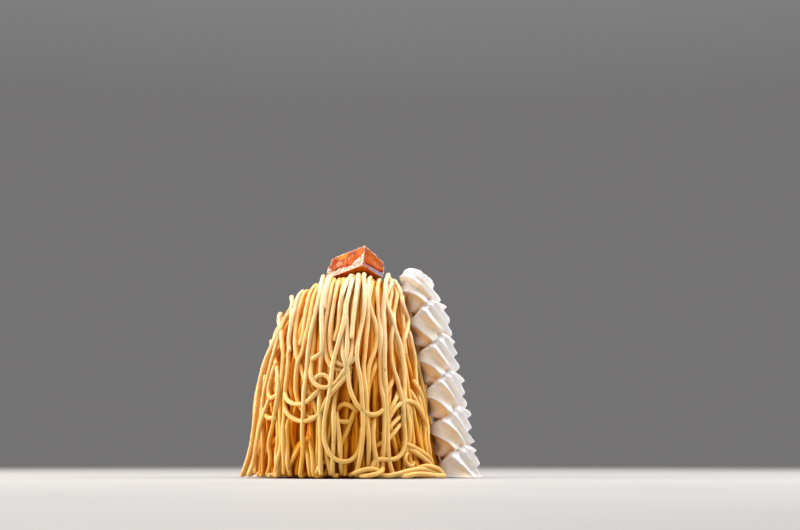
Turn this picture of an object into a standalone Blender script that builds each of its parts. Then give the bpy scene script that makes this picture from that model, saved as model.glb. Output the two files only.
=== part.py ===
"""Chestnut cream cake: a dome of piped paste strands, a leaning column of cream and a candied block."""
import math
import random

import bmesh
import bpy
from mathutils import Vector

# The dome of strands: its side outline as (height, radius) from the plate to the crown
DOME_OUTLINE = (
    (0.0000, 0.0380), (0.0120, 0.0387), (0.0226, 0.0380), (0.0328, 0.0370), (0.0445, 0.0349),
    (0.0530, 0.0325), (0.0620, 0.0290), (0.0700, 0.0250), (0.0750, 0.0205), (0.0780, 0.0166),
    (0.0800, 0.0120), (0.0810, 0.0070), (0.0813, 0.0000),
)
DOME_HEIGHT = DOME_OUTLINE[-1][0]
CREAM_SIDE_REACH = 0.0350  # dome's half width at the plate on the side of the cream
CROWN_BLEND = 0.0012  # eases the dome into its flatter side beside the cream
STRAND_RADIUS = 0.0010
STRAND_SIDES = 5
STRAND_LIFT = 0.00005  # of the lowest strands above the plate
DRAPE_STEPS = 44
DRAPED_POINTS = 12
LOOSE_POINTS = 11
FALLEN_POINTS = 8
STRAND_SPACING = 0.0024  # on the crown
FIRST_DRAPED = -0.0372
LAST_DRAPED = 0.0335
DRAPE_SWAY = 0.0007
SWAY_HEIGHT = 0.011
BEND_WEIGHT = 0.011  # a turn of one radian takes as many points as this length
CORE_INSET = 0.0024
CORE_COLUMNS = 22
CORE_HEIGHTS = (0.0, 0.012, 0.026, 0.040, 0.052, 0.062, 0.070, 0.0755)
PASTE_COLOUR = (0.86, 0.58, 0.22)

# The cream column leans on the dome, a little towards the front
CREAM_FOOT = Vector((0.0430, -0.0068, 0.0))
CREAM_LEAN = Vector((-0.2113, 0.0335, 1.0))
CREAM_REACH = 0.0090  # from the column's axis to the tips of its ridges
LOBE_CENTRES = (0.0026, 0.0168, 0.0310, 0.0452, 0.0594, 0.0736)
LOBE_RADIUS = 0.0072
LOBE_HEAD = 0.0097
LOBE_TAIL = 0.0142
LOBE_TILT = math.radians(-49)  # the ridges fall from upper left to lower right
LOBE_STATIONS = (-0.97, -0.84, -0.6, -0.25, 0.12, 0.36, 0.6, 0.82, 0.97)
LOBE_RIDGES = 10
RIDGE_DEPTH = 0.17  # of the lobe's radius
RIDGE_SHARE = 0.3  # of that depth outside the lobe's radius, the rest inside it
FOOT_RADIUS = 0.0070
FOOT_FLARE = 0.0016
FOOT_COLUMNS = 28
CREAM_COLOUR = (0.93, 0.86, 0.76)

# The candied block stands on one edge, its near corner up
BLOCK_LENGTH = 0.0198
BLOCK_WIDTH = 0.0125
BLOCK_HEIGHT = 0.0092
BLOCK_CORNER = Vector((0.0041, -0.0090, 0.0832))
BLOCK_AXES = (
    Vector((-0.749, 0.639, -0.177)), Vector((0.656, 0.683, -0.322)), Vector((0.084, 0.359, 0.930))
)
BLOCK_TAPER = 0.78  # height at its far right end, of the height at the near corner
BLOCK_DISH = 0.0004
BLOCK_BEVEL = 0.0004
BLOCK_RIM = 0.0020
BLOCK_COLOUR = (0.52, 0.13, 0.02)

CLEARANCE_COLUMNS = 24
GAP = 0.0003
SOLVER = "MANIFOLD"
RANDOM_SEED = 7


def clear_scene():
    for obj in list(bpy.data.objects):
        bpy.data.objects.remove(obj, do_unlink=True)


def material(name, colour, roughness):
    made = bpy.data.materials.new(name)
    made.use_nodes = True
    shader = made.node_tree.nodes["Principled BSDF"]
    shader.inputs["Base Color"].default_value = (*colour, 1.0)
    shader.inputs["Roughness"].default_value = roughness
    return made


def mesh_object(name, points, faces, look):
    mesh = bpy.data.meshes.new(name)
    mesh.from_pydata([tuple(p) for p in points], [], faces)
    mesh.update()
    obj = bpy.data.objects.new(name, mesh)
    bpy.context.scene.collection.objects.link(obj)
    if look is not None:
        mesh.materials.append(look)
    return obj


def between(table, value):
    """The second column of a table at a value of its first, on straight runs between the rows."""
    if value <= table[0][0]:
        return table[0][1]
    for (low, first), (high, second) in zip(table, table[1:]):
        if value <= high:
            return first + (second - first) * (value - low) / (high - low)
    return table[-1][1]


def dome_radius(z):
    return between(DOME_OUTLINE, z)


def half_width(side, z):
    """How far the dome reaches along X at a height: its radius at the left, less beside the cream."""
    radius = dome_radius(z)
    if side < 0:
        return radius
    limit = CREAM_SIDE_REACH + CREAM_LEAN.x * z
    # A smooth minimum of the two, so that the crown stays round
    mix = max(0.0, min(1.0, 0.5 + 0.5 * (limit - radius) / (4 * CROWN_BLEND)))
    return limit + (radius - limit) * mix - CROWN_BLEND * mix * (1.0 - mix)


def apex_height(x):
    """The height at which the dome's half width is the size of x."""
    low, high = 0.012, DOME_HEIGHT
    for _ in range(40):
        middle = 0.5 * (low + high)
        if half_width(x, middle) > abs(x):
            low = middle
        else:
            high = middle
    return low


def dome_y(x, z):
    """Half the dome's depth at this x and height."""
    share = min(1.0, abs(x) / max(half_width(x, z), 1e-6))
    return dome_radius(z) * math.sqrt(1.0 - share * share)


def cream_axis(z):
    return CREAM_FOOT + CREAM_LEAN * z


def block_underside(x, y):
    """The height of the block's lower plane over this point, or None beside the block."""
    normal = BLOCK_AXES[2]
    z = BLOCK_CORNER.z - (normal.x * (x - BLOCK_CORNER.x) + normal.y * (y - BLOCK_CORNER.y)) / normal.z
    offset = Vector((x, y, z)) - BLOCK_CORNER
    margin = STRAND_RADIUS + GAP
    along, across = offset.dot(BLOCK_AXES[0]), offset.dot(BLOCK_AXES[1])
    inside = -margin < along < BLOCK_LENGTH + margin and -margin < across < BLOCK_WIDTH + margin
    return z if inside else None


def keep_clear(point):
    """Moves a point of a strand's centre line out of the cream column and from under the block."""
    x, y, z = point
    axis = cream_axis(z)
    out = Vector((x - axis.x, y - axis.y))
    least = CREAM_REACH + GAP + STRAND_RADIUS
    if out.length < least:
        out = out.normalized() * least
        x, y = axis.x + out.x, axis.y + out.y
    under = block_underside(x, y)
    if under is not None:
        z = min(z, under - STRAND_RADIUS - 2 * GAP)
    return Vector((x, y, max(z, STRAND_RADIUS + STRAND_LIFT)))


def even_points(points, count):
    """The path resampled to count points, closer together where it bends."""
    reach = [0.0]
    for i in range(1, len(points)):
        step = points[i] - points[i - 1]
        turn = step.angle(points[i - 1] - points[i - 2], 0.0) if i > 1 else 0.0
        reach.append(reach[-1] + step.length + BEND_WEIGHT * turn)
    even = []
    spot = 0
    for k in range(count):
        wanted = reach[-1] * k / (count - 1)
        while spot < len(reach) - 2 and reach[spot + 1] < wanted:
            spot += 1
        share = (wanted - reach[spot]) / max(reach[spot + 1] - reach[spot], 1e-9)
        even.append(points[spot].lerp(points[spot + 1], min(1.0, share)))
    return even


def smooth_path(corners, steps=8):
    """A Catmull-Rom curve through the corners."""
    ends = [2 * corners[0] - corners[1], *corners, 2 * corners[-1] - corners[-2]]
    path = []
    for a, b, c, d in zip(ends, ends[1:], ends[2:], ends[3:]):
        for k in range(steps):
            t = k / steps
            path.append(0.5 * (2 * b + (c - a) * t + (2 * a - 5 * b + 4 * c - d) * t**2
                               + (3 * b - a - 3 * c + d) * t**3))
    path.append(corners[-1])
    return path


def tube(name, points, radius, sides=STRAND_SIDES):
    """A closed tube along a path, with flat ends."""
    rings = []
    across = None
    for i, point in enumerate(points):
        ahead = (points[min(i + 1, len(points) - 1)] - points[max(i - 1, 0)]).normalized()
        if across is None:
            across = ahead.orthogonal().normalized()
        across = (across - ahead * across.dot(ahead)).normalized()
        third = ahead.cross(across)
        rings.append([
            point + radius * (math.cos(turn) * across + math.sin(turn) * third)
            for turn in (2 * math.pi * k / sides for k in range(sides))
        ])
    verts = [p for ring in rings for p in ring]
    faces = [tuple(range(sides))[::-1]]
    for i in range(len(rings) - 1):
        for k in range(sides):
            n = (k + 1) % sides
            faces.append((i * sides + k, i * sides + n, (i + 1) * sides + n, (i + 1) * sides + k))
    last = (len(rings) - 1) * sides
    faces.append(tuple(last + k for k in range(sides)))
    return mesh_object(name, verts, faces, None)


def ringed_solid(name, rings, look=None):
    """A closed solid from rings of points, each turning anticlockwise seen from the last ring's side."""
    count = len(rings[0])
    verts = [p for ring in rings for p in ring]
    faces = [tuple(range(count))[::-1]]
    for i in range(len(rings) - 1):
        for k in range(count):
            n = (k + 1) % count
            faces.append((i * count + k, i * count + n, (i + 1) * count + n, (i + 1) * count + k))
    last = (len(rings) - 1) * count
    faces.append(tuple(last + k for k in range(count)))
    return mesh_object(name, verts, faces, look)


def dome_core():
    """The plain body under the strands."""
    rings = []
    for z in CORE_HEIGHTS:
        ring = []
        for k in range(CORE_COLUMNS):
            turn = 2 * math.pi * k / CORE_COLUMNS
            depth = dome_radius(z) - CORE_INSET
            width = half_width(math.cos(turn), z) - CORE_INSET
            shape = math.hypot(math.cos(turn) / width, math.sin(turn) / depth)
            ring.append(Vector((math.cos(turn) / shape, math.sin(turn) / shape, z)))
        rings.append(ring)
    return ringed_solid("dome_core", rings)


def draped_path(x_apex, draw, proud=0.0):
    """A strand laid over the dome from front to back, its highest point at x_apex."""
    top = apex_height(x_apex)
    at_top = half_width(x_apex, top)
    spread = 0.2 + 0.5 * (x_apex / 0.038) ** 2
    sway = draw.uniform(-DRAPE_SWAY, DRAPE_SWAY)
    phase = draw.uniform(0.0, 6.0)
    feet = draw.uniform(0.0012, 0.0030), draw.uniform(0.0012, 0.0030)
    sides = []
    for side, foot in zip((-1.0, 1.0), feet):
        run = []
        for k in range(DRAPE_STEPS + 1):
            z = foot + (top - foot) * math.sin(0.5 * math.pi * k / DRAPE_STEPS)
            x = x_apex * (half_width(x_apex, z) / at_top) ** spread
            x += sway * math.sin(z / SWAY_HEIGHT + phase) * (1 - z / top)
            y = side * dome_y(x, z)
            inward = 1.0 - (STRAND_RADIUS - proud) / max(math.hypot(x, y), 0.012)
            lift = STRAND_RADIUS * min(1.0, max(0.0, (z - 0.060) / 0.021))
            run.append(keep_clear(Vector((x * inward, y * inward, z - lift))))
        sides.append(run)
    return sides[0] + sides[1][-2::-1]


def draped_places():
    """Where the draped strands cross the dome's ridge, closer together down its sides."""
    places = []
    x = FIRST_DRAPED
    while x < LAST_DRAPED:
        places.append(x)
        steep = abs(x) / 0.038
        x += STRAND_SPACING * (1.0 - 0.4 * steep * steep)
    return places


def on_front(x, z, proud):
    """A point in front of the dome, this far outside its surface."""
    return Vector((x, -dome_y(x, z) - proud, z))


def loose_loops():
    """The curls and hanging loops that lie on the front of the dome, as (x, height) in millimetres."""
    routes = (
        ((-17, 34), (-14, 30), (-9, 33), (-8.5, 39), (-12, 42), (-16, 40), (-15.5, 35),
         (-12, 34.4)),
        ((-26, 31), (-20, 28.4), (-15.5, 31), (-12, 34.5), (-8, 38), (-3, 41)),
        ((-27, 27), (-21, 22.6), (-16, 22.4), (-10, 27), (-8, 32)),
        ((-11.3, 30), (-11.3, 22), (-10.8, 13), (-7.6, 8), (-3, 5.6), (1.6, 7), (4.2, 12),
         (5, 22), (5, 32)),
        ((14.4, 22.6), (18.6, 27.6), (23.6, 29.4), (27, 26.8), (30, 18), (32, 8)),
        ((20.5, 26), (20.4, 14), (18.4, 10), (13.6, 7), (9, 6.6), (8, 5)),
        ((21, 12.6), (28, 10.2), (33, 5.4)),
        ((-5, 28.6), (-1.6, 29.4), (1.6, 26), (6.8, 23.4), (12.6, 25.2)),
        ((-34, 39), (-34.4, 32.8), (-32.4, 30.6), (-30.8, 36)),
        ((24.5, 8.8), (22, 8.8), (21.2, 6.2), (24, 4.2), (26, 6)),
    )
    paths = []
    for route in routes:
        corners = [on_front(x / 1000, z / 1000, 0.0004) for x, z in route]
        first = on_front(route[0][0] / 1000, route[0][1] / 1000 + 0.001, -0.0016)
        last = on_front(route[-1][0] / 1000, route[-1][1] / 1000 + 0.001, -0.0016)
        paths.append(smooth_path([first, *corners, last], 6))
    return paths


def fallen_strands():
    """Strands that have slid down: on the plate at the front right, and splayed out at the left foot."""
    low = STRAND_RADIUS + STRAND_LIFT
    lying = (
        ((17, -34, 2.0), (21, -39, 0), (28, -38.5, 0), (35, -31, 0), (40, -24, 0), (42, -19, 0)),
        ((12, -35, 2.0), (18, -41, 0), (27, -41, 0), (36, -35, 0), (38, -29, 0)),
        ((24, -29, 2.5), (30, -33, 2.0), (36, -27, 2.0), (40, -20, 1.6)),
        ((3, -36, 1.5), (6, -41, 0), (11, -42, 0), (13, -38, 0.5), (10, -35, 2.0)),
        ((-34, -12, 34), (-37.2, -11, 22), (-39.0, -10, 10), (-41.6, -9, 0)),
        ((-34, -4, 26), (-38.2, -4, 16), (-39.8, -4, 7), (-42.0, -5, 0)),
        ((-31, -19, 20), (-35.4, -18, 10), (-38.6, -17, 0)),
        ((-30, 20, 30), (-34.5, 19.5, 14), (-38.4, 19, 0)),
        ((16, 32, 12), (18, 37, 3), (24, 39, 0), (31, 34, 0), (34, 28, 0.5)),
    )
    paths = []
    for route in lying:
        corners = [Vector((x / 1000, y / 1000, z / 1000 + low)) for x, y, z in route]
        paths.append([keep_clear(p) for p in smooth_path(corners, 5)])
    return paths


def joined(body, pieces, name, look):
    """The body and its pieces as one closed surface, without what the union seals or drops."""
    group = bpy.data.collections.new(name + "_pieces")
    bpy.context.scene.collection.children.link(group)
    for piece in pieces:
        for holder in list(piece.users_collection):
            holder.objects.unlink(piece)
        group.objects.link(piece)
    union = body.modifiers.new("union", "BOOLEAN")
    union.operation = "UNION"
    union.operand_type = "COLLECTION"
    union.collection = group
    union.solver = SOLVER
    graph = bpy.context.evaluated_depsgraph_get()
    mesh = bpy.data.meshes.new_from_object(body.evaluated_get(graph))
    for piece in list(group.objects):
        bpy.data.objects.remove(piece, do_unlink=True)
    bpy.data.objects.remove(body, do_unlink=True)
    bpy.data.collections.remove(group)
    keep_largest(mesh)
    mesh.materials.clear()
    mesh.materials.append(look)
    mesh.name = name
    made = bpy.data.objects.new(name, mesh)
    bpy.context.scene.collection.objects.link(made)
    return made


def keep_largest(mesh):
    """Only the largest linked surface stays, cut into triangles."""
    shape = bmesh.new()
    shape.from_mesh(mesh)
    left = set(shape.verts)
    largest = []
    while left:
        linked = [left.pop()]
        for vert in linked:
            for edge in vert.link_edges:
                other = edge.other_vert(vert)
                if other in left:
                    left.remove(other)
                    linked.append(other)
        if len(linked) > len(largest):
            largest = linked
    kept = set(largest)
    bmesh.ops.delete(shape, geom=[v for v in shape.verts if v not in kept], context="VERTS")
    bmesh.ops.triangulate(shape, faces=shape.faces)
    shape.to_mesh(mesh)
    shape.free()


def cut_by(obj, cutter):
    """Takes the cutter's volume from the object and removes the cutter."""
    cut = obj.modifiers.new("clearance", "BOOLEAN")
    cut.operation = "DIFFERENCE"
    cut.object = cutter
    cut.solver = SOLVER
    graph = bpy.context.evaluated_depsgraph_get()
    mesh = bpy.data.meshes.new_from_object(obj.evaluated_get(graph))
    obj.modifiers.remove(cut)
    bpy.data.objects.remove(cutter, do_unlink=True)
    keep_largest(mesh)
    mesh.name = obj.name
    obj.data = mesh


def cream_clearance():
    """A leaning cylinder round the whole cream column."""
    rings = []
    for z in (-0.002, DOME_HEIGHT + 0.004):
        ring = []
        for k in range(CLEARANCE_COLUMNS):
            turn = 2 * math.pi * k / CLEARANCE_COLUMNS
            out = Vector((math.cos(turn), math.sin(turn), 0.0))
            ring.append(cream_axis(z) + (CREAM_REACH + GAP) * out)
        rings.append(ring)
    return ringed_solid("cream_clearance", rings)


def paste_strands():
    draw = random.Random(RANDOM_SEED)
    look = material("paste", PASTE_COLOUR, 0.45)
    core = dome_core()
    pieces = []
    for number, x in enumerate(draped_places()):
        proud = draw.choice((-0.0003, 0.0, 0.0, 0.0003))
        path = even_points(draped_path(x, draw, proud), DRAPED_POINTS)
        pieces.append(tube(f"draped_{number}", path, STRAND_RADIUS * draw.uniform(0.95, 1.08)))
    for number, path in enumerate(loose_loops()):
        pieces.append(tube(f"loop_{number}", even_points(path, LOOSE_POINTS), STRAND_RADIUS))
    for number, path in enumerate(fallen_strands()):
        pieces.append(tube(f"fallen_{number}", even_points(path, FALLEN_POINTS), STRAND_RADIUS))
    made = joined(core, pieces, "paste_strands", look)
    cut_by(made, block_solid("block_clearance", GAP, None))
    cut_by(made, cream_clearance())
    made.data.shade_smooth()
    made.data.set_sharp_from_angle(angle=math.radians(50))
    return made


def lobe_profile(along):
    """A lobe's radius on its axis: a blunt head and a drawn-out tail, as a share of its largest."""
    if along < 0:
        return (1.0 - min(1.0, -along / LOBE_HEAD) ** 2.6) ** (1 / 2.6)
    return (1.0 - min(1.0, along / LOBE_TAIL) ** 1.8) ** 0.8


def cream_lobe(number, centre_z, size):
    """One ridged lobe of the cream column."""
    axis = cream_axis(centre_z)
    ahead = Vector((math.cos(LOBE_TILT), 0.0, math.sin(LOBE_TILT)))
    across = Vector((-math.sin(LOBE_TILT), 0.0, math.cos(LOBE_TILT)))
    depth = Vector((0.0, -1.0, 0.0))
    columns = 2 * LOBE_RIDGES
    rings = []
    for share in LOBE_STATIONS:
        along = share * (LOBE_HEAD if share < 0 else LOBE_TAIL)
        radius = lobe_profile(along) * LOBE_RADIUS * size
        ring = []
        for k in range(columns):
            turn = 2 * math.pi * (k + 1.1) / columns
            relief = RIDGE_SHARE if k % 2 else RIDGE_SHARE - 1.0
            reach = radius * (1.0 + relief * RIDGE_DEPTH)
            ring.append(axis + ahead * along * size
                        + reach * (math.cos(turn) * across + math.sin(turn) * depth))
        rings.append(ring)
    return ringed_solid(f"lobe_{number}", rings)


def cream_foot():
    """The flared skirt that stands on the plate."""
    rings = []
    flare = ((0.0, FOOT_FLARE), (0.0015, 0.4 * FOOT_FLARE), (0.006, -0.0004), (0.012, -0.0016))
    for z, extra in flare:
        axis = cream_axis(z)
        ring = []
        for k in range(FOOT_COLUMNS):
            turn = 2 * math.pi * k / FOOT_COLUMNS
            radius = FOOT_RADIUS + extra
            ring.append(axis + radius * Vector((math.cos(turn), math.sin(turn), 0.0)))
        rings.append(ring)
    return ringed_solid("cream_foot", rings)


def piped_cream():
    draw = random.Random(RANDOM_SEED)
    look = material("cream", CREAM_COLOUR, 0.5)
    foot = cream_foot()
    lobes = [cream_lobe(i, z, draw.uniform(0.97, 1.04)) for i, z in enumerate(LOBE_CENTRES)]
    made = joined(foot, lobes, "piped_cream", look)
    bpy.ops.mesh.primitive_cube_add(size=0.1, location=(0.04, 0.0, -0.05))
    below = bpy.context.active_object
    cut_by(made, below)
    made.data.shade_smooth()
    made.data.set_sharp_from_angle(angle=math.radians(40))
    return made


def block_solid(name, grown, look):
    """The block as a six-sided solid, grown on every side by a clearance when it serves as a cutter."""
    long, wide, tall = BLOCK_AXES
    corners = []
    for up in (0, 1):
        for right, left in ((0, 0), (1, 0), (1, 1), (0, 1)):
            height = BLOCK_HEIGHT * (BLOCK_TAPER if right else 1.0)
            a = BLOCK_LENGTH + grown if left else -grown
            b = BLOCK_WIDTH + grown if right else -grown
            c = height + grown if up else -grown
            corners.append(BLOCK_CORNER + long * a + wide * b + tall * c)
    faces = [(0, 3, 2, 1), (4, 5, 6, 7), (0, 1, 5, 4), (1, 2, 6, 5), (2, 3, 7, 6), (3, 0, 4, 7)]
    return mesh_object(name, corners, faces, look)


def candied_block():
    look = material("candied", BLOCK_COLOUR, 0.25)
    made = block_solid("candied_block", 0.0, look)
    shape = bmesh.new()
    shape.from_mesh(made.data)
    bmesh.ops.recalc_face_normals(shape, faces=shape.faces)
    for face in list(shape.faces):
        bmesh.ops.inset_individual(shape, faces=[face], thickness=BLOCK_RIM, depth=-BLOCK_DISH)
    shape.to_mesh(made.data)
    shape.free()
    bevel = made.modifiers.new("rounded_edges", "BEVEL")
    bevel.width = BLOCK_BEVEL
    bevel.segments = 2
    bevel.limit_method = "ANGLE"
    bevel.angle_limit = math.radians(40)
    made.data.shade_smooth()
    made.data.set_sharp_from_angle(angle=math.radians(30))
    return made


clear_scene()
paste_strands()
piped_cream()
candied_block()
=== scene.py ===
"""Looks of the chestnut cream cake: laid paste strands, a ridged cream column and a candied block."""
import math

import bpy
import numpy as np
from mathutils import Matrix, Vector, kdtree
from mathutils import noise as mathnoise


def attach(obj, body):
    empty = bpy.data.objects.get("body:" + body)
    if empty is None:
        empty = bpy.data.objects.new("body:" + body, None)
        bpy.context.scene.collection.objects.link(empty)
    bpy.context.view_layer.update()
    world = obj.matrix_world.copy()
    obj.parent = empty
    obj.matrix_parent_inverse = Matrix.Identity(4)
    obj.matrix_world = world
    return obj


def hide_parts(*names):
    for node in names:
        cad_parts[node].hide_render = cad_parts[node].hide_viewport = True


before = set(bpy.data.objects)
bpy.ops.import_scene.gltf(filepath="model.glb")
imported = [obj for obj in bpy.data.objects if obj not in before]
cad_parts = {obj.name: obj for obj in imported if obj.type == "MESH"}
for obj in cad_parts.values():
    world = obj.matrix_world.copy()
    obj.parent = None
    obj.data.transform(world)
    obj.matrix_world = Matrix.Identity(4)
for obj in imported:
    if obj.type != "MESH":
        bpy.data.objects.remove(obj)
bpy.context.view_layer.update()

MM = 0.001
draw = np.random.default_rng(11)

# The dome's side outline as (height, radius) in millimetres, as in the solids
DOME_OUTLINE = np.array((
    (0.0, 38.0), (12.0, 38.7), (22.6, 38.0), (32.8, 37.0), (44.5, 34.9), (53.0, 32.5), (62.0, 29.0),
    (70.0, 25.0), (75.0, 20.5), (78.0, 16.6), (80.0, 12.0), (81.0, 7.0), (81.3, 0.0),
))
DOME_HEIGHT = DOME_OUTLINE[-1, 0]
CREAM_SIDE_REACH = 37.6  # of the dome along X beside the cream, at the plate
CREAM_FOOT = np.array((43.0, -6.8, 0.0))
CREAM_LEAN = np.array((-0.2113, 0.0335, 1.0))
CREAM_REACH = 8.4  # of the column round its axis, as strands beside it find it

# Strands
STRAND_RADIUS = 0.88
HEAP_DEPTH = 5.2  # from the dome's outline down to the tops of the lowest strands
DEEP_LAYER = 3.7  # left free under the outline by the dense heap
MIDDLE_LAYER = 1.9  # and by the sparse strands over it
STEP = 1.15
CONTACT = 1.66  # between the centre lines of strands that touch
TOP_MARGIN = 0.05  # kept under the dome's top, where its radius is 0
LEG_RISE = np.sin(0.5 * math.pi * np.linspace(0.0, 1.0, 160))  # of a leg's points from foot to top, as shares
TRIES = 16  # places looked at for each strand laid
MISSES_ALLOWED = 8  # strands that find no room
LAID_OVER = 0.3  # most that a laid strand stands out of the dome's outline
TRACED_OVER = 0.9  # and a traced one
TOP_DIP = np.array((2.2, 1.5, 0.9, 0.4, 0.15))  # of a top end that goes in between the others
TAIL_CHANCE = 0.45
PLATE_REACH = 41.0  # from the dome's axis, for a tail on the plate
TIP_LENGTH = 0.45  # of a strand's rounded end, in radii
TIP_SIZE = 0.72  # and of its last ring
SETTLE_ROUNDS = 140
PROUD_RISE = 1.5  # of a proud strand at its top
PROUD_REACH = 18.0  # down from its top, where the rise ends
TUCK_DEPTH = 1.3  # of both ends of a tuck strand
BRIDGED = (0.7, 0.5)  # most that other traced strands sag under the dome's outline, and how far that varies
BLOCK_CLEARANCE = 0.9  # round the block, within which strands stay under it
CORE_DEPTH = 1.2  # of the core under the tops of the lowest strands
STRANDS_A_PIECE = 80
LEFT_SIDE = (math.radians(128), math.radians(232))
RIGHT_SIDE = (math.radians(-48), math.radians(62))
CROWN = (0.24, 0.80)  # part of the way along the ridge


def outline_radius(z):
    return np.interp(z, DOME_OUTLINE[:, 0], DOME_OUTLINE[:, 1])


def clamp(value):
    return np.clip(value, 0.0, 1.0)


def half_width(side, z):
    """How far the dome reaches along X at a height: all of its radius at the left, less beside the cream."""
    radius = outline_radius(z)
    limit = CREAM_SIDE_REACH + CREAM_LEAN[0] * z
    soft = 1.2
    mix = clamp(0.5 + 0.5 * (limit - radius) / (4 * soft))
    squeezed = limit + (radius - limit) * mix - soft * mix * (1.0 - mix)
    return np.where(side < 0, radius, squeezed)


def dome_y(x, z):
    share = clamp(np.abs(x) / np.maximum(half_width(np.sign(x), z), 1e-6))
    return outline_radius(z) * np.sqrt(1.0 - share * share)


def reach_of(points):
    """How far along the path each of its points lies."""
    return np.concatenate([[0.0], np.cumsum(np.linalg.norm(np.diff(points, axis=0), axis=1))])


def unit(vectors):
    return vectors / np.maximum(np.linalg.norm(vectors, axis=-1, keepdims=True), 1e-9)


def average(values, rounds):
    """Smooths values in place: in each round the inner ones move halfway to the middle of their neighbours."""
    for _ in range(rounds):
        values[1:-1] = 0.25 * (values[:-2] + values[2:]) + 0.5 * values[1:-1]


def ridge_table():
    """The dome's outline seen from the front, from low at the left over the crown to low at the right."""
    z = np.concatenate([np.linspace(13.0, 79.0, 80), np.linspace(79.2, DOME_HEIGHT - 0.02, 30)])
    left = np.stack([-half_width(-1, z), z], axis=1)
    right = np.stack([half_width(1, z), z], axis=1)[::-1]
    points = np.concatenate([left, right])
    return points, reach_of(points)


RIDGE, RIDGE_REACH = ridge_table()


def even_spaced(points, step):
    """The path resampled at equal steps."""
    reach = reach_of(points)
    count = max(4, int(round(reach[-1] / step)) + 1)
    wanted = np.linspace(0.0, reach[-1], count)
    return np.stack([np.interp(wanted, reach, points[:, i]) for i in range(3)], axis=1)


def smooth_curve(corners):
    """A Catmull-Rom curve through the corners."""
    corners = np.asarray(corners, float)
    ends = np.concatenate([[2 * corners[0] - corners[1]], corners, [2 * corners[-1] - corners[-2]]])
    t = np.linspace(0.0, 1.0, 12, endpoint=False)[:, None]
    parts = []
    for a, b, c, d in zip(ends, ends[1:], ends[2:], ends[3:]):
        parts.append(0.5 * (2 * b + (c - a) * t + (2 * a - 5 * b + 4 * c - d) * t**2
                            + (3 * b - a - 3 * c + d) * t**3))
    return np.concatenate([*parts, corners[-1:]])


def outward(points):
    """The dome's outward direction at points on it."""
    x, y, z = points.T
    width = half_width(np.sign(x), z)
    depth = outline_radius(z)
    rise = 0.6
    slope = (outline_radius(z + rise) - outline_radius(np.maximum(z - rise, 0.0))) / (2 * rise)
    flat = unit(np.stack([x / width**2, y / depth**2], axis=1))
    normal = np.concatenate([flat, -slope[:, None]], axis=1)
    normal[z > DOME_HEIGHT - rise] = (0.0, 0.0, 1.0)
    normal = unit(normal)
    for _ in range(3):
        normal[1:-1] = normal[:-2] + 2 * normal[1:-1] + normal[2:]
        normal = unit(normal)
    return normal


def sway(height_share, calm):
    """A slow sideways wander that dies away towards the crown."""
    waves = sum(
        size * np.sin(2 * math.pi * height_share * count + draw.uniform(0, 6.28))
        for size, count in ((draw.normal(0, 1.5), 0.8), (draw.normal(0, 1.0), 1.9), (draw.normal(0, 0.35), 4.3)))
    return waves * calm * clamp(1.0 - height_share) ** 0.8


def draped_pass(reach, wander):
    """A strand over the dome from front foot to back foot, as points on the dome's outline."""
    x_apex = np.interp(reach, RIDGE_REACH, RIDGE[:, 0])
    top = np.interp(reach, RIDGE_REACH, RIDGE[:, 1])
    at_top = max(abs(x_apex), 0.5)
    spread = 0.16 + 0.6 * (x_apex / DOME_OUTLINE[0, 1]) ** 2
    legs = []
    for side, (foot, waves) in zip((-1.0, 1.0), wander):
        z = foot + (top - foot) * LEG_RISE
        width = half_width(np.sign(x_apex), z)
        x = x_apex * (width / at_top) ** spread + waves
        x = np.clip(x, -half_width(-1, z), half_width(1, z))
        legs.append(np.stack([x, side * dome_y(x, z), z], axis=1))
    return even_spaced(np.concatenate([legs[0], legs[1][-2::-1]]), STEP)


def side_pass(turn, wander):
    """A strand that runs down one side of the dome at a turn about its axis, top end first."""
    top = draw.uniform(56.0, 79.0)
    foot, waves = wander[0]
    z = foot + (top - foot) * LEG_RISE
    radius = outline_radius(z)
    along = turn + waves / np.maximum(radius, 12.0)
    x = half_width(np.cos(turn) * np.ones_like(z), z) * np.cos(along)
    y = radius * np.sin(along)
    return even_spaced(np.stack([x, y, z], axis=1), STEP)[::-1]


class Heap:
    """The strands laid so far, as points on a shell inside the dome and how high each lies over the heap's bottom."""

    def __init__(self):
        self.spots = []
        self.heights = []
        self.tree = None

    def needed(self, spots):
        """How high a centre line has to lie at each spot to clear all strands below it."""
        low = np.zeros(len(spots))
        if self.tree is None:
            return low
        for i, spot in enumerate(spots):
            for _, index, distance in self.tree.find_range(spot, CONTACT):
                level = self.heights[index] + math.sqrt(CONTACT**2 - distance**2)
                if level > low[i]:
                    low[i] = level
        return low

    def lay(self, spots, heights):
        self.spots.extend(map(tuple, spots))
        self.heights.extend(heights)
        self.tree = kdtree.KDTree(len(self.spots))
        for i, spot in enumerate(self.spots):
            self.tree.insert(spot, i)
        self.tree.balance()


def settle(low, stiffness=4, sag=0.012):
    """The strand's own height over its length: it rests on what is below and bridges the gaps stiffly."""
    reach = 2 * stiffness + 1
    padded = np.pad(low, stiffness, mode="edge")
    heights = np.max([padded[i:i + len(low)] for i in range(reach)], axis=0)
    for _ in range(SETTLE_ROUNDS):
        middle = heights.copy()
        middle[1:-1] = 0.5 * (heights[:-2] + heights[2:]) - sag
        middle[0] = heights[1] - sag
        middle[-1] = heights[-2] - sag
        heights = np.maximum(low, middle)
    average(heights, 3)
    return heights


def shell(points, normals):
    """Points halfway down the heap, where the strands' distances are measured."""
    return points - normals * (0.5 * HEAP_DEPTH)


BLOCK_CORNER = np.array((4.1, -9.0, 83.2))
BLOCK_AXES = np.array(((-0.749, 0.639, -0.177), (0.656, 0.683, -0.322), (0.084, 0.359, 0.930)))
BLOCK_SIZE = np.array((20.7, 12.5, 9.2))
BLOCK_TAPER = 0.78


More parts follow.
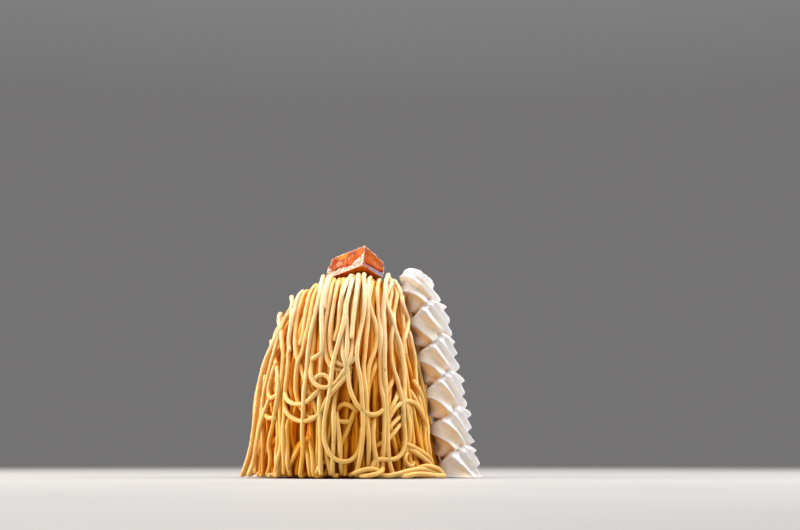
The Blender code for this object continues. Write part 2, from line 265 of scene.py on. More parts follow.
def clear_of_neighbours(points):
    """Strand points moved out of the cream column and out from under the block, and kept above the plate."""
    points = points.copy()
    axis = CREAM_FOOT[:2] + CREAM_LEAN[:2] * points[:, 2:]
    out = points[:, :2] - axis
    distance = np.linalg.norm(out, axis=1)
    least = CREAM_REACH + STRAND_RADIUS
    near = distance < least
    points[near, :2] = axis[near] + out[near] * (least / distance[near])[:, None]
    normal = BLOCK_AXES[2]
    under = BLOCK_CORNER[2] - ((points[:, :2] - BLOCK_CORNER[:2]) @ normal[:2]) / normal[2]
    foot = np.stack([points[:, 0], points[:, 1], under], axis=1) - BLOCK_CORNER
    along, across = foot @ BLOCK_AXES[0], foot @ BLOCK_AXES[1]
    beyond = np.hypot(
        np.maximum(np.maximum(-along, along - BLOCK_SIZE[0]), 0.0),
        np.maximum(np.maximum(-across, across - BLOCK_SIZE[1]), 0.0),
    )
    allowed = under - 1.05 * STRAND_RADIUS + 1.3 * np.maximum(beyond - BLOCK_CLEARANCE, 0.0)
    points[:, 2] = np.minimum(points[:, 2], allowed)
    average(points, 2)
    points[:, 2] = np.maximum(points[:, 2], 1.1 * STRAND_RADIUS)
    return points


def wander_of(calm):
    """One random foot height and sideways wander for each leg of a pass."""
    return [(draw.uniform(0.9, 2.6), sway(LEG_RISE, calm)) for _ in range(2)]


def with_tail(path, whole):
    """The pass with its ends led on over the plate for a few millimetres, or left standing."""
    for end in range(2):
        if draw.random() < TAIL_CHANCE and (whole or end == 1):
            foot = path[0]
            out = np.array((foot[0], foot[1], 0.0)) / max(np.hypot(foot[0], foot[1]), 1.0)
            side = np.array((-out[1], out[0], 0.0)) * draw.normal(0.0, 1.0)
            way = out * draw.uniform(0.2, 1.0) + side
            way /= np.linalg.norm(way)
            room = PLATE_REACH - np.hypot(foot[0], foot[1])
            length = min(draw.uniform(2.0, 7.0), room / max(way @ out, 0.15))
            steps = np.arange(1, max(2, int(length / STEP)) + 1)[:, None]
            tail = foot + way * steps * STEP
            tail[:, 2] = STRAND_RADIUS
            path = np.concatenate([tail[::-1], path])
            average(path[:10], 3)
        path = path[::-1]
    return path


def laid_strands(heap, room, most, reach=(0.0, 1.0), turns=None, back_only=False):
    """Strands laid one after the other, each where the heap is lowest, until it fills the dome up to the room left."""
    strands = []
    misses = 0
    while len(strands) < most and misses < MISSES_ALLOWED:
        wander = wander_of(draw.uniform(0.4, 1.7))
        best = None
        for _ in range(TRIES):
            if turns:
                outline = side_pass(draw.uniform(*turns), wander)
            else:
                outline = draped_pass(draw.uniform(*reach) * RIDGE_REACH[-1], wander)
            if back_only:
                outline = outline[outline[:, 1] > -1.5]
            normals = outward(outline)
            spots = shell(outline, normals)
            low = heap.needed(spots)
            mean = low.mean()
            if best is None or mean < best[0]:
                best = (mean, outline, normals, spots, low)
        mean, outline, normals, spots, low = best
        heights = np.minimum(settle(low), HEAP_DEPTH + LAID_OVER)
        if heights.mean() > HEAP_DEPTH - room:
            misses += 1
            continue
        if turns or back_only:
            heights[:5] -= TOP_DIP
        heap.lay(spots, heights)
        centre = outline + normals * (heights - HEAP_DEPTH - STRAND_RADIUS)[:, None]
        strands.append(clear_of_neighbours(with_tail(centre, not (turns or back_only))))
    return strands


def store(mesh, name, values):
    layer = mesh.attributes.new(name, "FLOAT", "POINT")
    layer.data.foreach_set("value", np.asarray(values, np.float32))


def vertex_values(mesh, name):
    """A vector that the mesh holds for each of its points."""
    values = np.empty(len(mesh.vertices) * 3)
    mesh.vertices.foreach_get(name, values)
    return values.reshape(-1, 3)


def skin(index):
    """The faces that join rings of points, given as rows of their numbers, into one closed surface."""
    following = np.roll(index, -1, axis=1)
    quads = np.stack([index[:-1], following[:-1], following[1:], index[1:]], axis=2).reshape(-1, 4)
    return [*map(tuple, quads), tuple(index[0][::-1]), tuple(index[-1])]


def linked(name, data):
    made = bpy.data.objects.new(name, data)
    bpy.context.scene.collection.objects.link(made)
    return made


def new_object(name, points, faces, look=None):
    """An object from points in millimetres, smooth if it has a look."""
    mesh = bpy.data.meshes.new(name)
    mesh.from_pydata([tuple(p) for p in np.asarray(points) * MM], [], faces)
    mesh.update()
    if look:
        mesh.shade_smooth()
        mesh.materials.append(look)
    return linked(name, mesh)


def cover_of(places):
    """How deep in the heap each point lies: 0 at the dome's outline, 1 at the bottom of the strands."""
    x, y, z = places.T
    z = np.clip(z, 0.0, DOME_HEIGHT - TOP_MARGIN)
    share = np.hypot(x / half_width(np.sign(x), z), y / outline_radius(z))
    side = (1.0 - share) * outline_radius(z)
    radius = np.minimum(np.hypot(x, y), DOME_OUTLINE[0, 1])
    top = np.interp(-radius, -DOME_OUTLINE[2:, 1], DOME_OUTLINE[2:, 0])
    return clamp(np.minimum(side, np.maximum(top - z, 0.0)) / HEAP_DEPTH)


def tube_mesh(name, paths, sides, look, tints):
    """All the paths as round-ended tubes in one mesh, with a tint of its own for each."""
    turns = 2 * math.pi * np.arange(sides) / sides
    points, faces, shades = [], [], []
    start = 0
    for path, tint in zip(paths, tints):
        ahead = unit(np.gradient(path, axis=0))
        rings = [
            (path[0] - ahead[0] * TIP_LENGTH * STRAND_RADIUS, ahead[0], TIP_SIZE),
            *((centre, way, 1.0) for centre, way in zip(path, ahead)),
            (path[-1] + ahead[-1] * TIP_LENGTH * STRAND_RADIUS, ahead[-1], TIP_SIZE),
        ]
        across = np.cross(ahead[0], (0.31, 0.77, 0.55))
        steps = np.arange(len(rings))
        swell = STRAND_RADIUS * (
            1.0 + 0.05 * np.sin(steps * 0.31 + tint * 40) + 0.035 * np.sin(steps * 1.27 + tint * 93))
        for (centre, way, size), thick in zip(rings, swell):
            across = across - way * np.dot(across, way)
            across /= np.linalg.norm(across)
            third = np.cross(way, across)
            points.append(centre + size * thick * (
                np.cos(turns)[:, None] * across + np.sin(turns)[:, None] * third))
        count = len(rings) * sides
        faces.extend(skin(start + np.arange(count).reshape(-1, sides)))
        shades.append(np.full(count, tint))
        start += count
    places = np.concatenate(points)
    made = new_object(name, places, faces, look)
    store(made.data, "tint", np.concatenate(shades))
    # How deep each point lies in the heap drives the painted shade of the paste.
    store(made.data, "cover", cover_of(places))
    return made


# The camera, as it stands for the photograph's frame of 800 by 530
CAMERA_PLACE = np.array((19.0, -490.0, 6.3))
CAMERA_TILT = math.radians(9.09)
LENS = 55.1
SENSOR = 36.0
FOCAL = LENS / SENSOR * 800
FRAME_MIDDLE = (400.0, 265.0)


def seen_at(px, py):
    """The point of the dome that the camera sees at a place of the frame, or the nearest one on its outline."""
    across = (px - FRAME_MIDDLE[0]) / FOCAL
    up = (FRAME_MIDDLE[1] - py) / FOCAL
    way = np.array((
        across,
        math.cos(CAMERA_TILT) - up * math.sin(CAMERA_TILT),
        math.sin(CAMERA_TILT) + up * math.cos(CAMERA_TILT),
    ))
    y = np.linspace(-45.0, 0.0, 901)
    points = CAMERA_PLACE + way * ((y - CAMERA_PLACE[1]) / way[1])[:, None]
    height = np.clip(points[:, 2], 0.0, DOME_HEIGHT - TOP_MARGIN)
    inside = (points[:, 1] + dome_y(points[:, 0], height) > 0.0) & (points[:, 2] < DOME_HEIGHT)
    inside &= np.abs(points[:, 0]) < half_width(np.sign(points[:, 0]), height)
    spot = points[np.argmax(inside)] if inside.any() else points[-1]
    spot[2] = np.clip(spot[2], 0.9, np.interp(spot[0], RIDGE[:, 0], RIDGE[:, 1]) - 0.05)
    spot[0] = np.clip(spot[0], -half_width(-1, spot[2]), half_width(1, spot[2]))
    spot[1] = -dome_y(spot[0], spot[2])
    return spot


# Strands that stand out on the front: the kind of each, then x and y of the places where it is seen in the frame,
# from its top down. Those laid first are crossed by those laid later. "over" and "proud" strands go on over the crown
# and down the back, and "proud" ones stand out from the others. "tuck" strands have both ends between the others.
TRACED = (
    ("over", 303, 288, 299, 294, 296.5, 303, 294, 312, 292.5, 322, 292, 332, 292.5, 343, 293.5, 355, 297, 365,
     300, 373, 303, 382, 306, 391, 310, 398, 314, 408, 316, 420, 316, 440, 315, 472),
    ("over", 316, 283, 311.5, 292, 309, 302, 307.5, 312, 306, 322, 303.5, 332, 301, 342, 299.5, 351, 297.5, 359,
     295.5, 368, 293.5, 378, 292.5, 388, 293.5, 397, 297, 406, 303, 414, 310, 418, 316, 417, 322, 411),
    ("over", 331, 280, 329, 292, 327, 303, 325, 314, 323.5, 326, 323, 338, 324, 348, 325.5, 357, 329, 364.5, 334, 369,
     340, 370.5, 346, 369.5, 351, 366),
    ("over", 337, 279, 334.5, 291, 332.5, 302, 331, 313, 329.5, 325, 328.5, 336, 329, 346, 331, 355, 335, 361.5,
     341, 365, 347, 365, 352, 361.5, 356, 357),
    ("tuck", 388, 329, 391, 337, 395, 346, 398, 354, 399.5, 362, 399, 371, 396, 380, 391, 387, 388, 394, 387, 402),
    ("tuck", 401, 392, 396, 400, 391, 408, 388, 416),
    ("tuck", 413, 411, 407.5, 413, 401.5, 416.5, 395, 421.5, 390, 427, 384, 434),
    ("tuck", 411, 418, 406.5, 420.5, 402, 424, 396, 430.5, 390, 438, 384, 443, 377, 446),
    ("tuck", 381, 357, 377, 367, 373, 378, 371, 392, 370, 410),
    ("over", 373, 281, 371, 291, 370.5, 300, 373, 309, 377, 319, 379.5, 330, 379, 342, 376, 351, 372.5, 358.5,
     370, 367, 369, 378, 368.5, 390, 368, 402, 369, 414, 372, 426, 373.5, 440, 375, 452, 377, 472),
    ("tuck", 376, 418, 373.5, 428, 373, 438, 374.5, 450, 377, 462, 378, 474),
    ("over", 370, 277, 368.5, 290, 368, 300, 369, 310, 369.5, 320, 368, 332, 367, 342, 366.5, 352, 365, 362,
     364.5, 372, 365.5, 384, 366.5, 395, 366.5, 405, 367, 416, 368, 430, 369, 446, 369, 472),
    ("tuck", 357, 405, 353, 414, 350, 423, 346.5, 432, 342, 441, 338, 450, 335, 459),
    ("tuck", 337, 420, 341, 422, 345, 422.4, 350, 421),
    ("tuck", 334, 413, 337, 406, 342, 402.6, 347, 402.8, 352, 406, 357, 411),
    ("tuck", 293, 441, 290, 450, 287, 459, 283, 468, 281, 475),
    ("tuck", 298, 439, 294, 450, 289.5, 459, 285, 467, 281, 476),
    ("tuck", 285, 414, 284, 428, 284.5, 442, 286, 458, 287, 475),
    ("tuck", 305, 437, 308.5, 446, 311, 456, 312, 466, 312, 476),
    ("tuck", 302, 447, 305.5, 456, 307.5, 466, 308, 476),
    ("tuck", 322, 462, 318, 468, 314.5, 474),
    ("tuck", 336, 412, 337.5, 424, 339, 436, 340, 452, 341, 474),
    ("tuck", 337, 384, 334.5, 394, 333.5, 404, 333.5, 416, 334, 432, 333, 448, 332, 474),
    ("over", 312, 282.5, 307, 290, 304.5, 300, 302.5, 310, 301, 320, 300, 330, 298.5, 338, 297.5, 342.5),
    ("over", 324, 275.5, 322.5, 284, 320.5, 292, 319, 300, 318.5, 309),
    ("over", 329, 278, 326, 288, 324, 297, 323.5, 307.5),
    ("over", 328, 279, 324.5, 290, 322.5, 302, 321.5, 314, 321.5, 326, 322, 338, 321, 352, 319, 366, 318, 384,
     319, 400, 320, 420, 320, 446, 321, 474),
    ("proud", 293.5, 296, 291, 304, 289.5, 314, 288, 325, 286.5, 335, 285.5, 346, 285, 358, 284.5, 370, 283, 382,
     281.5, 394, 281, 406, 281, 420, 282, 436, 282.5, 452, 281, 474),
    ("over", 300, 291, 296, 298, 294.5, 305, 293, 314, 290, 325, 288, 337, 287.5, 345, 288.5, 350),
    ("proud", 282.5, 316, 280, 321, 279.5, 330, 279, 340, 279.5, 352, 279, 364, 278, 376, 277, 388, 276.5, 402,
     276.5, 416, 277, 430, 277.8, 444, 277.5, 458, 275, 474),
    ("over", 280, 325, 275, 335, 272, 345, 271, 355, 272.5, 365, 275.5, 376, 277.5, 387, 277.5, 396, 275, 406,
     272.5, 414, 270.5, 422, 268.5, 430, 266, 440, 265.5, 450, 267, 458, 266, 466, 263, 476),
    ("proud", 270, 351.5, 266, 357, 264, 366, 262.5, 377, 261, 387, 259, 397, 257.5, 407, 256.5, 417, 257, 428,
     257.5, 438, 256, 448, 254, 458, 251, 475),
    ("tuck", 273, 362, 271.5, 372, 268.5, 380, 266, 388, 266.5, 395, 270, 398.7, 274, 397, 277, 392),
    ("tuck", 259, 398, 260.5, 407, 263.5, 414.5, 268, 418.3, 273, 417.5),
    ("tuck", 282, 393, 285, 399, 290, 402.7, 296, 404.7, 302, 404, 308, 401, 313, 396, 318.5, 389),
    ("tuck", 282, 406, 284.5, 411.5, 289, 416.5, 295, 420, 302, 421.6, 308.5, 420.8, 314.5, 418.4, 319.5, 413.5,
     323.5, 406.5, 326, 398),
    ("tuck", 306, 376, 308, 383, 310.5, 388.7),
    ("tuck", 311.5, 384, 313.5, 379, 317.5, 375, 322, 373.3, 326.5, 375, 329.5, 379, 331, 384, 331, 392),
    ("over", 320, 281.5, 317, 292, 314, 304, 312.5, 316, 311, 328, 311.5, 340, 310, 350, 309.5, 360, 309.5, 370,
     311, 378, 315, 384.6, 320.5, 387.6, 326, 388.2, 331, 386.6, 336.5, 382, 342, 376, 348, 370),
    ("tuck", 350, 371, 343, 380, 337, 387, 331, 393, 326, 400),
    ("tuck", 323, 350, 319.5, 354, 315, 357, 311, 358),
    ("over", 361, 273, 359, 284, 358, 294, 356.5, 303, 354.5, 312, 353, 322, 352.5, 332, 352.5, 342, 352, 352,
     350, 360, 347, 367, 343, 373, 338, 380),
    ("over", 345, 277, 341, 290, 343, 300, 344.5, 312, 343.5, 325, 342, 338, 342.3, 350, 344, 360, 347.5, 368,
     348.3, 378, 349, 386, 351.5, 394, 354.5, 401, 358.5, 407, 363.5, 411.5, 369, 415, 375, 415.6, 380, 413.3,
     383, 410),
    ("over", 354, 275, 351, 285, 348, 296, 346.3, 308, 346.5, 320, 347.3, 334, 347, 350, 346, 360, 345.5, 367),
    ("over", 351, 272.5, 346, 283, 342.5, 293, 340, 303, 338.5, 313, 337.5, 323, 335.5, 331, 333, 338.7),
    ("over", 381, 276, 379, 288, 380, 300, 381, 312, 382, 326, 382, 345, 382, 360, 382.5, 375, 383, 390, 384, 404,
     384.5, 420, 384, 440, 383.5, 474),
    ("over", 392, 277, 394, 288, 393, 298, 391.5, 308, 393, 318, 395.5, 328, 398, 338, 401, 350, 405, 362, 407, 376,
     407.5, 392, 408, 410, 410, 430, 412, 446, 414, 472),
    ("over", 396, 281, 400, 288, 400, 296, 398.5, 305, 396, 315, 394.5, 324, 393, 336, 394, 350, 395, 366, 398, 379,
     400.5, 391, 402.3, 403, 403.4, 417, 405, 431, 407.5, 448, 408, 474),
    ("over", 392.5, 278.5, 396.5, 282, 400, 287.5, 402.6, 294, 404.6, 302, 406, 312, 407, 323, 408, 336, 410, 352),
    ("over", 402, 300, 404.5, 309, 408, 314.5, 410, 319, 408.5, 326, 406.5, 336, 406, 346, 407.5, 356, 409.5, 366,
     411, 378, 412.5, 390, 414, 401, 417, 411, 419.5, 421, 422, 433, 425, 446, 428, 456, 431, 465),
    ("tuck", 409.5, 328, 411, 338, 414, 347, 417, 357, 418.5, 368, 419.5, 380, 420.5, 392, 421.5, 403, 425, 413,
     428, 421, 430, 430, 431.5, 440, 433, 450, 435, 458),
    ("tuck", 416, 380, 420.5, 393, 425.5, 406, 429.8, 418, 430.8, 428, 430.5, 438, 432.5, 450, 435.5, 462),
    ("tuck", 413.5, 390, 418, 402, 423.5, 414, 427.6, 426, 428.2, 438, 430, 450, 433, 463),
    ("tuck", 410, 404, 412.5, 416, 415, 428, 416.5, 440, 417, 452),
    ("tuck", 409, 410, 409.5, 424, 410, 436, 410.5, 444),
    ("tuck", 405, 443, 411, 445.5, 418, 449, 426, 454, 433, 460, 437, 465),
    ("tuck", 409, 448.5, 416, 452.5, 423, 457.5, 430, 462.5, 436, 468),
    ("tuck", 387.5, 424, 391, 414, 396, 407, 402, 402.5, 408, 400.7, 413, 401.6, 417, 405, 420.5, 410.5, 424, 418,
     428, 425, 429, 430),
    ("over", 390, 274, 392.5, 283, 388.3, 291, 387.5, 300, 389, 307, 391.5, 315, 394, 325, 397, 335, 400, 343,
     401.7, 351, 403, 361, 404, 371, 404.5, 381, 404.3, 391, 403.5, 401, 403.3, 411, 403.6, 421, 405, 431, 405.5, 440,
     404, 449, 400.5, 456, 394.5, 459.6, 386, 459.6, 379, 458.6, 374, 460, 372, 465, 372.5, 472),
    ("tuck", 409.5, 453.2, 405.5, 454.3, 403.8, 459, 406.3, 463.8, 410.5, 467.4, 414.6, 467, 416, 462.8),
    ("over", 352, 280, 349, 292, 346.5, 303, 345, 315, 343, 326, 340, 336, 337.5, 345, 335, 354, 333, 363, 331.7, 373,
     331, 383, 329.8, 393, 327.8, 402, 325.8, 411, 324.4, 421, 324, 431, 324.6, 441, 327, 450, 331.5, 456.5, 338, 461,
     344.5, 462.3, 351, 461, 356, 456.5, 359.8, 449, 361.8, 440, 362.5, 428),
    ("over", 364, 272.5, 364.5, 284, 365, 295, 364.5, 305, 364, 315, 362, 325, 359.5, 335, 357.5, 345, 356.5, 355,
     357.5, 365, 360, 375, 361.5, 386, 362, 400, 362.8, 412, 363.3, 425, 363, 437, 361.5, 449, 359.5, 460, 357.5, 470,
     356.5, 477),
    ("over", 358.2, 273.5, 357.4, 285, 355.8, 297, 354, 311, 352.6, 325, 351.6, 338),
    ("proud", 387, 271, 385.8, 282, 384.5, 295, 384, 310, 384.3, 325, 384.8, 340, 385.2, 355, 385.6, 370, 386, 385,
     386.4, 400, 386.9, 415, 387.5, 430, 388, 445, 388.8, 458, 391, 469, 393.5, 477),
    ("over", 323.5, 275, 321.5, 284, 320, 295, 317.5, 304, 314.5, 315, 311.8, 326, 309.3, 337, 307.3, 348, 305.8, 359,
     305.2, 370, 304.6, 381, 304, 392, 303.5, 403, 303.1, 414, 302.5, 426, 301.8, 438, 300.8, 450, 299.2, 462,
     297.3, 476),
)

# Strands that have slid down: on the plate at the front right, and splayed out at the left foot
FALLEN = (
    ((11, -36, 1), (14.6, -39, 0.9), (18.8, -40, 1.8), (23.2, -39.2, 2.9), (27.4, -37.4, 3.4), (31, -34.4, 2.4),
     (33.8, -31, 0.9)),
    ((18.4, -37.4, 0.9), (21.6, -41, 0.9), (25.6, -41.4, 1.7), (29.6, -39.6, 1.5), (33, -36.4, 0.9),
     (35.4, -34.6, 0.9)),
    ((23.4, -32, 2.6), (26, -36.2, 3.9), (29.4, -36.6, 4.5), (32.6, -33.8, 3.6), (34.8, -29.4, 1.8), (35, -25, 0.9)),
    ((15.4, -36.6, 0.9), (18.8, -38.2, 1.2), (22.4, -37, 2.4), (25.4, -34, 3.4), (27.4, -31, 3)),
    ((0.6, -35, 1.2), (2.6, -37.8, 2), (5.4, -39.8, 3), (8.4, -39.8, 3.5), (11, -37.8, 3), (12.4, -34.8, 1.4)),
    ((4.2, -36, 1), (5.6, -39.4, 0.9), (8.4, -41.4, 1.1), (11, -40, 1.8), (12.6, -37, 3), (12.4, -34, 4.6)),
    ((-28, -13, 57), (-33.4, -13.4, 45), (-36.2, -12, 33), (-37.2, -12.6, 22), (-38.6, -11, 12), (-40.6, -10.4, 5),
     (-42, -10, 1), (-42.2, -8, 1)),
    ((-30, -6, 54), (-35.2, -5, 42), (-37.6, -6.2, 30), (-38.4, -5, 19), (-39.6, -5.6, 9), (-41.4, -5, 3),
     (-42, -3.4, 1)),
    ((-33, 3, 47), (-36.4, 2.2, 36), (-38, 3.4, 24), (-38.6, 2.6, 14), (-40, 3.4, 6), (-41.6, 5, 1), (-41.2, 8, 1)),
    ((-31, -19, 30), (-34.4, -18, 20), (-35.8, -18.6, 12), (-37, -17.4, 5), (-38.6, -18, 1)),
    ((16, 32, 12), (18, 37, 4), (24, 39, 1), (31, 34, 1), (34, 28, 1.5)),
)


def traced_strands(heap):
    """The traced strands, each lying on what is below it."""
    paths = []
    for kind, *places in TRACED:
        front = np.array([seen_at(px, py) for px, py in np.reshape(places, (-1, 2))])
        legs = [smooth_curve(front)[::-1]]
        if kind != "tuck":
            first = front[0]
            reach = np.interp(first[0], RIDGE[:, 0], RIDGE_REACH)
            behind = draped_pass(reach, wander_of(1.3 if first[2] > 68.0 else 0.5))
            legs.append(behind[behind[:, 1] > 1.5])
        outline = even_spaced(smooth_rough(np.concatenate(legs)), STEP)
        normals = outward(outline)
        spots = shell(outline, normals)
        heights = settle(heap.needed(spots), stiffness=3, sag=0.02)
        if kind != "tuck":
            bridged = HEAP_DEPTH - BRIDGED[0] - BRIDGED[1] * draw.random()
            heights = np.maximum(heights, bridged)
        heights = np.minimum(heights, HEAP_DEPTH + TRACED_OVER)
        if kind == "proud":
            heights += PROUD_RISE * eased((outline[:, 2] - first[2] + PROUD_REACH) / PROUD_REACH)
        if kind == "tuck":
            ends = np.minimum(np.arange(len(heights)), np.arange(len(heights))[::-1])
            heights -= TUCK_DEPTH * clamp(1.0 - ends / 3.0)
        heap.lay(spots, heights)
        paths.append(clear_of_neighbours(outline + normals * (heights - HEAP_DEPTH - STRAND_RADIUS)[:, None]))
    return paths


def smooth_rough(points):
    """The path with its joints eased, by averaging at an even step."""
    points = even_spaced(points, 0.8)
    average(points, 4)
    return points


def fallen_strands():
    return [clear_of_neighbours(even_spaced(smooth_curve(route), STEP)) for route in FALLEN]


def grid_mesh(name, rings, look):
    """Rings of points joined into one closed surface."""
    rings = np.asarray(rings, float)
    rows, columns = rings.shape[:2]
    return new_object(name, rings.reshape(-1, 3), skin(np.arange(rows * columns).reshape(rows, columns)), look)


def paste_core(look):
    """The dense inside of the heap, seen only through the gaps between strands."""
    rings = []
    turns = np.linspace(0.0, 2 * math.pi, 96, endpoint=False)
    for z in np.linspace(0.4, DOME_HEIGHT - HEAP_DEPTH - 1.6, 60):
        lifted = min(z + HEAP_DEPTH + 1.0, DOME_HEIGHT - 0.2) if z > 50 else z
        right, left, depth = (
            max(float(width) - HEAP_DEPTH - CORE_DEPTH, 0.5)
            for width in (half_width(1, lifted), half_width(-1, lifted), outline_radius(lifted)))
        side = np.where(np.cos(turns) > 0, right, left)
        rings.append(np.stack([side * np.cos(turns), depth * np.sin(turns), np.full(len(turns), z)], axis=1))
    made = grid_mesh("paste_core", rings, look)
    # A cover of 1 gives the core the darkest painted shade of the paste.
    store(made.data, "cover", np.ones(len(made.data.vertices)))
    store(made.data, "tint", np.zeros(len(made.data.vertices)))
    return made


# ---- cream ----
# The column's half width and the place of its middle along X, at heights from the plate up
CREAM_OUTLINE = np.array((
    (0.0, 8.0, 42.6), (0.9, 7.5, 42.3), (3.0, 7.0, 41.8), (9.0, 6.9, 40.5), (18.5, 6.9, 38.6), (40.0, 6.9, 34.6),
    (59.6, 6.8, 30.8), (65.3, 6.6, 29.3), (69.2, 6.25, 28.0), (72.2, 5.95, 26.6), (75.3, 5.5, 25.4),
    (78.6, 4.7, 24.2), (80.6, 3.8, 23.7), (81.9, 2.5, 23.4), (82.7, 0.4, 23.2),
))
CREAM_PITCH = 14.2
CREVICE_HEIGHT = 52.7  # of one crevice at the front
CREAM_ROWS = 410
CREAM_COLUMNS = 236
RIDGES_A_TURN = 8
# Round the column from the back by the left, the front (0) and the right to the back again, in degrees: how much
# higher a crevice runs than at the front, how many ridges start before this place and how far apart they are in height
CREAM_TURN = np.array((
    (-180, -7.6, 3.7, 6.2), (-135, -5.3, 2.6, 7.5), (-90, -3.34, 1.59, 8.5), (-40, -1.5, 1.27, 9.5),
    (-17, -0.6, 0.92, 9.2), (0, 0.0, 0.65, 9.6), (15, 0.95, 0.07, 7.6), (30, 2.5, -0.78, 6.4), (50, 3.2, -1.67, 5.5),
    (70, 2.6, -2.2, 5.3), (90, 1.84, -2.4, 5.3), (115, 2.2, -2.6, 5.3), (145, 4.2, -3.3, 5.5), (180, 6.6, -4.3, 6.2),
))
RIDGE_RELIEF = 1.75
LOBE_SWELL = 0.75
CREVICE_DEPTH = 1.5
FOLD_DEPTH = 0.09


def eased(value):
    """From 0 to 1 with a soft start and end."""
    value = clamp(value)
    return value * value * (3 - 2 * value)


def smoothed_table(table, places, column, rounds):
    """A column of a table at places given by its first, with its corners rounded off."""
    fine = np.linspace(table[0, 0], table[-1, 0], 720)
    values = np.interp(fine, table[:, 0], table[:, column])
    average(values, rounds)
    return np.interp(places, fine, values)


def cream_column(look):
    """Cream piped in a rising coil: each turn swells out at its top and is crossed by sharp falling ridges."""
    top = CREAM_OUTLINE[-1, 0]
    fine = np.linspace(0.0, top, 800)
    outline = smoothed_table(CREAM_OUTLINE, fine, 1, 10)
    reach = np.concatenate([[0.0], np.cumsum(np.hypot(np.diff(fine), np.diff(outline)))])
    z = np.interp(np.linspace(0.0, reach[-1], CREAM_ROWS), reach, fine)[:, None]
    width = smoothed_table(CREAM_OUTLINE, z, 1, 10)
    middle = smoothed_table(CREAM_OUTLINE, z, 2, 60)
    turns = np.linspace(-math.pi, math.pi, CREAM_COLUMNS, endpoint=False)[None, :]
    degrees = np.degrees(turns)
    x = middle + width * np.sin(turns)
    y = CREAM_FOOT[1] + CREAM_LEAN[1] * z - width * np.cos(turns)
    base = np.stack([x, y, z + 0 * turns], axis=2)
    along = np.gradient(base, axis=0)
    around = np.roll(base, -1, axis=1) - np.roll(base, 1, axis=1)
    normal = unit(np.cross(around, along))

    rise, before, spacing = (smoothed_table(CREAM_TURN, degrees, column, 40) for column in (1, 2, 3))
    wobble = 0.35 * np.sin(turns * 2 + z * 0.21) + 0.25 * np.sin(turns * 3 - z * 0.37 + 1.0)
    below = (CREVICE_HEIGHT + rise + wobble - z) / CREAM_PITCH
    number = np.floor(below)
    part = below - number
    crevice = np.where(part < 0.5, number, number + 1)
    real = (crevice > -1.5) & (crevice < 3.5)
    # The uppermost turn has no crevice over it, the lowest stands on the plate
    phase = before + part * CREAM_PITCH / spacing
    phase = phase + 0.10 * np.sin(number * 2.1 + turns) + 0.04 * np.sin(z * 0.8 + turns * 3)
    on_top = eased((z - 70.0) / 8.0)
    phase = phase - 0.55 * on_top * eased((40 - degrees) / 120.0) * eased((degrees + 180) / 90.0)
    from_left = eased((30.0 - degrees) / 110.0) * eased((degrees + 200) / 60.0)
    from_right = eased((degrees - 30.0) / 60.0)
    across = phase - np.floor(phase)
    which = np.round(phase) + RIDGES_A_TURN * number
    strength = 1.0 + 0.18 * np.sin(which * 2.4)
    ridge = 1.0 - np.sin(math.pi * across ** 0.85) ** 0.9
    cap = eased((top + 1.0 - z) / 7.0)
    start = 0.35 + 0.65 * eased(part / 0.22)
    fade = np.where(number < -1.5, 1.0, start) * (0.12 + 0.88 * cap) * (0.3 + 0.7 * eased(z / 5.0))
    relief = RIDGE_RELIEF * strength * fade * (ridge - 0.36) * (1.0 + 0.8 * from_right)

    swell = np.where(part < 0.18, -1.0 + 2.0 * eased(part / 0.18), 1.0 - 2.0 * (np.abs(part - 0.18) / 0.82) ** 1.15)
    swell = np.where((number < -1.5) & (part < 0.5), 0.55, swell)
    swell = LOBE_SWELL * (1.0 - 0.35 * from_right) * swell * cap
    distance = np.minimum(part, 1.0 - part) * CREAM_PITCH
    groove = 0.35 * np.exp(-(distance / 0.6) ** 2) + CREVICE_DEPTH * from_left * np.exp(-(distance / 1.2) ** 2)
    groove = groove * real * eased(z / 4.0)
    folds = np.sin(2 * math.pi * (width * turns + 0.4 * z) / 1.25 + 2 * np.sin(z * 0.9))
    folds = FOLD_DEPTH * folds * np.exp(-((part - 0.10) / 0.09) ** 2) * real
    push = (relief + swell - groove + folds) * (0.25 + 0.75 * eased((top + 0.6 - z) / 3.0))
    points = base + normal * push[:, :, None]
    points[:, :, 2] = np.maximum(points[:, :, 2], 0.0)
    made = grid_mesh("whipped_cream", points, look)
    # The crest marks where the painted highlight goes on the ridges.
    store(made.data, "crest_highlight", crest_of(made.data, 60, 2.2))
    # Painted warm shade: each facet is painted warmest just under its ridge and low on its turn, for shade and warm
    # light thrown up from the strands
    under = eased(across / 0.10) * (1.0 - across) ** 0.7
    outer = eased((degrees + 10.0) / 70.0)
    painted_warm_shade = under * (0.25 + 0.75 * eased((part - 0.08) / 0.6)) * (1.0 - 0.75 * outer) * (0.35 + 0.65 * cap)
    painted_warm_shade = np.where(real & (part < 0.15), painted_warm_shade * eased(part / 0.15), painted_warm_shade)
    # Painted shade in the pockets where a valley ends at the crevice under it, and in the deep crevices at the left.
    painted_pocket_shade = np.exp(-((across - 0.3) / 0.2) ** 2) * np.exp(-((1.0 - part) * CREAM_PITCH / 1.6) ** 2) * real
    store(made.data, "painted_warm_shade", clamp(painted_warm_shade).ravel())
    store(made.data, "painted_pocket_shade", clamp(0.8 * painted_pocket_shade + 0.6 * groove * from_left).ravel())
    return made


